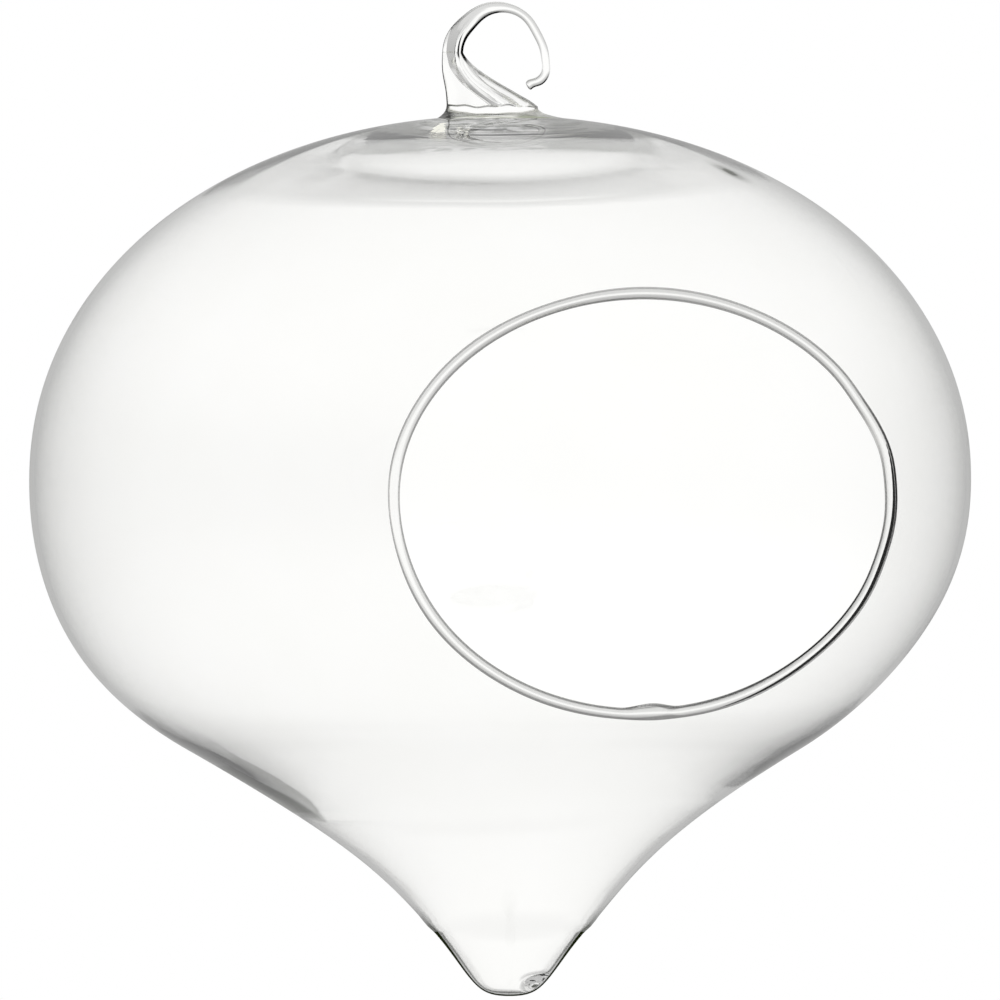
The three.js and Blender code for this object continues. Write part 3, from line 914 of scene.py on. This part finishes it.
foot_points = np.vstack([foot_grid.reshape(-1, 3), foot_middles])
# Painted shade on the foot: darkened on its left side and towards its top, where it is seen edge
# on.
foot_left = ease(foot_points[:, 0], -6.5, -8.5)
foot_top = np.append(np.repeat(ease(foot_share[:, 0], 0.78, 0.86), ROUND), [0, 1])
foot_dark = np.maximum(foot_left * 0.95, foot_top * 0.8)
foot_painted_shade = np.stack([mix(0.03, 1, foot_dark), 1 + foot_left / 2 + foot_top, 0 * foot_left], axis=1)
foot = make_piece("glass_foot", foot_points, foot_painted_shade, [
    (grid_faces(foot_index), GLASS),
    (fan_faces(foot_index[0], foot_index.size), JOINT),
    (flipped(fan_faces(foot_index[-1], foot_index.size + 1)), JOINT),
], rod_set)

# %% [markdown]
# ## The hook
#
# The hook is one tapering rod, drawn from the gather, bent round into an eye while soft and snipped
# off. Up the root its section is a rod on the eye's side and a thin web behind it. Round the eye
# the web fades, and only the rod is left.

# %% Hook: the root, the eye and the rounded end
SNIP_ANGLE = -52.0
END_LENGTH = 2.6
ROOT_ROWS = 90
LOOP_ROWS = 231
END_ROWS = 8


def eye_radius_at(degrees):
    """The eye is not quite round: three bell-shaped bumps on a circle."""
    flat = -0.5 * bump(degrees, 139, 25) - 0.75 * bump(degrees, 28, 30)
    return EYE_RADIUS + flat + 0.65 * bump(degrees, -28, 14) - 0.35 * bump(degrees, -48, 7)


def loop_section(share, angle):
    """The eye, from its middle at the back at 0 to the snipped end at 1, and a rounded end past
    it: a section across a spoke of the eye, thinner towards the end."""
    past = np.clip(share - 1, 0, 1)
    degrees = mix(180, SNIP_ANGLE, np.minimum(share, 1)) - END_LENGTH * past
    thick = ease(degrees, 60, 178)
    small = np.sqrt(1 - past**2)
    width = mix(ROD_WIDTH, LIMB_WIDTH, thick) + 0.25 * bump(degrees, -42, 10)
    rod = mix(ROD_DEPTH, LIMB_DEPTH, thick) / 2
    web = rod - (LIMB_DEPTH / 2 - WEB) * ease(degrees, 100, 165)
    middle = mix(0.05, 0.5, ease(degrees, 105, 180))
    v = np.cos(angle)
    reach = eye_radius_at(degrees) + width / 2 + small * width / 2 * v
    spoke = np.radians(degrees)
    x = reach * np.cos(spoke)
    z = -EYE_RADIUS + reach * np.sin(spoke)
    depth = half_depth(v, width, rod, web, middle, 1.0, 0.6, 0.4, BACK_ROUND)
    y = small * np.sign(np.sin(angle)) * depth
    return np.stack(np.broadcast_arrays(x, y, z), axis=-1)


root_rows = root_section(np.linspace(0, 1, ROOT_ROWS + 1)[:-1, None], around[None, :])
loop_rows = loop_section(np.linspace(0, 1, LOOP_ROWS)[:, None], around[None, :])
end_turns = np.linspace(0, np.pi / 2, END_ROWS + 2)[1:-1, None]
end_rows = loop_section(1 + np.sin(end_turns), around[None, :])
hook_grid = np.concatenate([root_rows, loop_rows, end_rows])


def hook_painted_shade(grid):
    """Painted shade: the root is darkened at both edges. Round the eye the painted shade fades from
    left to right, on the inner edge later than on the outer one, and it comes back under the
    snipped end."""
    x, z = grid[..., 0], grid[..., 2]
    v = np.cos(around)
    outer = ease(x, -4.0, -8.5)
    inner = ease(x, 1.2, -0.8)
    snipped = ease(z, -9.3, -10.8) * (x > 2) * np.where(v > 0, 1, 0.5)
    dark = np.maximum(np.where(v > 0, outer, inner), snipped)
    eye_side = np.where(v > 0, 1, np.maximum(ease(x, -4.5, -6), 0.7 * ease(x, -2.5, -0.5)))
    dark[:len(root_rows)] = mix(0.1, 1, eye_side)[:len(root_rows)]
    edge = ease(np.abs(v), 0.6, 0.8)
    sharp = 1 + 1.5 * edge * dark + 4 * snipped * (v > 0)
    strength = mix(0.3, mix(0.7, 1, edge), dark)
    painted_shade_and_milk = np.stack([strength, sharp, 0 * dark], axis=-1).reshape(-1, 3)
    return np.vstack([painted_shade_and_milk, painted_shade_and_milk[[0, -1]]])


hook_index = np.arange(hook_grid[..., 0].size).reshape(hook_grid.shape[:2])
hook_middles = np.stack([root_rows[0].mean(0), end_rows[-1].mean(0)])
hook_points = np.vstack([hook_grid.reshape(-1, 3), hook_middles])
hook = make_piece("glass_hook", hook_points, hook_painted_shade(hook_grid), [
    (grid_faces(hook_index), GLASS),
    (fan_faces(hook_index[0], hook_index.size), JOINT),
    (flipped(fan_faces(hook_index[-1], hook_index.size + 1)), GLASS),
], rod_set)

# %% [markdown]
# ## Each piece stands for its solid
#
# The six pieces replace the six solids of the CAD model, which stay behind for collision. Nothing
# on the planter moves, so every piece rides on the one body.

# %% Tie the pieces to the CAD model
SOLIDS = {
    "blown_bulb": (bulb, "blown_glass"),
    "sealed_tip": (tip, "worked_glass"),
    "mouth_lip": (lip, "worked_glass"),
    "lip_join_drop": (drop, "worked_glass"),
    "hook_foot": (foot, "worked_glass"),
    "hanging_hook": (hook, "worked_glass"),
}
for solid, (piece, slot) in SOLIDS.items():
    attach(piece, "root")
    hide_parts(solid)
print(len(SOLIDS), "pieces stand for", len(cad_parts), "solids")

# %% [markdown]
# ## The studio
#
# The planter hangs before white. The world is a tent, the same all the way round, and it answers
# to the kind of ray. What the camera sees past the glass is plain white. Rays that the glass only
# bent see a tent that is white at eye level and dimmer above and below. Rays that it mirrored see
# a room that is grey below and bright above. These two draw the glass. Light that has been spread
# by a matt thing is plain and even.

# %% The room as a world
TENT_GAIN = 1.055
PLAIN_LIGHT = 0.95
WARMTH = 0.992
world = bpy.data.worlds.new("studio_tent")
world.use_nodes = True
bpy.context.scene.world = world
sky = world.node_tree
sky.nodes.clear()
path = add_node(sky, "ShaderNodeLightPath").outputs
shows = add_node(sky, "ShaderNodeMath", {0: path["Is Camera Ray"], 1: path["Is Glossy Ray"]},
                 operation="ADD")
shows = add_node(sky, "ShaderNodeMath", {0: shows.outputs[0], 1: path["Is Transmission Ray"]},
                 operation="ADD", use_clamp=True)
mirrored = add_node(sky, "ShaderNodeMath", {0: path["Glossy Depth"], 1: 0.5},
                    operation="GREATER_THAN")
look = add_node(sky, "ShaderNodeTexCoord").outputs["Generated"]
up = add_node(sky, "ShaderNodeSeparateXYZ", {"Vector": look}).outputs["Z"]
up = add_node(sky, "ShaderNodeMapRange", {"Value": up, "From Min": -1.0}).outputs["Result"]
room = add_node(sky, "ShaderNodeValToRGB", {"Fac": up})
tent = add_node(sky, "ShaderNodeValToRGB", {"Fac": up})
ROOM = [(-90, 0.6), (-40, 0.55), (0, 0.5), (10, 0.56), (22, 0.78), (36, 0.95), (90, 0.95)]
TENT = [
    (-90, 0.88), (-60, 0.8), (-32, 0.68), (-18, 0.66), (-10, 0.7), (-6, 0.81), (-3, 0.99),
    (3, 1.0), (6, 0.8), (10, 0.66), (18, 0.5), (32, 0.4), (60, 0.3),
]
for node, levels in ((room, ROOM), (tent, TENT)):
    ramp = node.color_ramp
    while len(ramp.elements) < len(levels):
        ramp.elements.new(0.5)
    for element, (degrees, level) in zip(ramp.elements, levels):
        element.position = (1 + np.sin(np.radians(degrees))) / 2
        element.color = (level, level, level * WARMTH, 1)
tent = add_node(sky, "ShaderNodeMix", {
    "Factor": 1.0, 6: tent.outputs["Color"], 7: (TENT_GAIN, TENT_GAIN, TENT_GAIN, 1),
}, data_type="RGBA", blend_type="MULTIPLY")
bent = add_node(sky, "ShaderNodeMix", {
    "Factor": path["Is Camera Ray"], 6: tent.outputs[2], 7: (1, 1, 1, 1),
}, data_type="RGBA")
seen = add_node(sky, "ShaderNodeMix", {
    "Factor": mirrored.outputs[0], 6: bent.outputs[2], 7: room.outputs["Color"],
}, data_type="RGBA")
spread = add_node(sky, "ShaderNodeMath", {0: path["Diffuse Depth"], 1: 0.5},
                  operation="GREATER_THAN")
shows = add_node(sky, "ShaderNodeMath", {0: shows.outputs[0], 1: spread.outputs[0]},
                 operation="SUBTRACT", use_clamp=True)
light = add_node(sky, "ShaderNodeMix", {
    "Factor": shows.outputs[0], 6: (PLAIN_LIGHT, PLAIN_LIGHT, PLAIN_LIGHT, 1), 7: seen.outputs[2],
}, data_type="RGBA")
background = add_node(sky, "ShaderNodeBackground", {"Color": light.outputs[2], "Strength": 1.0})
add_node(sky, "ShaderNodeOutputWorld", {"Surface": background.outputs[0]})
print("room levels by degrees up:", ROOM)

# %% The floor, far enough below for the planter to hang
FLOOR_LEVEL = -0.26
FLOOR_HALF = 1.6
FLOOR_GLOW = 0.2
GRAIN = 900.0
corners = np.array([(-1, -1, 0), (1, -1, 0), (1, 1, 0), (-1, 1, 0)]) * FLOOR_HALF
corners[:, 2] = FLOOR_LEVEL
floor_mesh = bpy.data.meshes.new("pale_floor")
floor_mesh.from_pydata(corners.tolist(), [], [(0, 1, 2, 3)])
floor = bpy.data.objects.new("pale_floor", floor_mesh)
bpy.context.scene.collection.objects.link(floor)
card, tree, output = new_material("matt_white_card")
path = add_node(tree, "ShaderNodeLightPath").outputs
grain = add_node(tree, "ShaderNodeTexNoise", {
    "Vector": add_node(tree, "ShaderNodeTexCoord").outputs["Object"], "Scale": GRAIN,
})
white = add_node(tree, "ShaderNodeMix", {
    "Factor": grain.outputs["Fac"], 6: colour("#e6e6e4"), 7: colour("#eaeae8"),
}, data_type="RGBA")
matt = add_node(tree, "ShaderNodeBsdfDiffuse", {"Color": white.outputs[2]})
seen = add_node(tree, "ShaderNodeMath", {0: path["Is Camera Ray"], 1: FLOOR_GLOW},
                operation="MULTIPLY")
glow = add_node(tree, "ShaderNodeEmission", {"Strength": seen.outputs[0]})
lit = add_node(tree, "ShaderNodeAddShader", {0: matt.outputs[0], 1: glow.outputs[0]})
bent = add_node(tree, "ShaderNodeMath", {0: path["Is Glossy Ray"], 1: path["Is Transmission Ray"]},
                operation="ADD", use_clamp=True)
card_or_tent = add_node(tree, "ShaderNodeMixShader", {
    0: bent.outputs[0],
    1: lit.outputs[0],
    2: add_node(tree, "ShaderNodeBsdfTransparent").outputs[0],
})
tree.links.new(card_or_tent.outputs[0], output.inputs["Surface"])
floor_mesh.materials.append(card)

# %% The camera, level with the bulb's widest part
PICTURE_WIDTH = 0.15924
CAMERA_PLACE = (-0.000398, -2.0, -0.07763)
camera_data = bpy.data.cameras.new("camera")
camera_data.type = "ORTHO"
camera_data.ortho_scale = PICTURE_WIDTH
camera_data.clip_start = 0.01
camera_data.clip_end = 20.0
camera = bpy.data.objects.new("camera", camera_data)
camera.location = CAMERA_PLACE
camera.rotation_euler = (np.pi / 2, 0, 0)
bpy.context.scene.collection.objects.link(camera)
bpy.context.scene.camera = camera
bpy.context.scene.view_settings.view_transform = "Standard"
cycles = bpy.context.scene.cycles
cycles.max_bounces = 24
cycles.glossy_bounces = 16
cycles.transmission_bounces = 24
cycles.transparent_max_bounces = 32
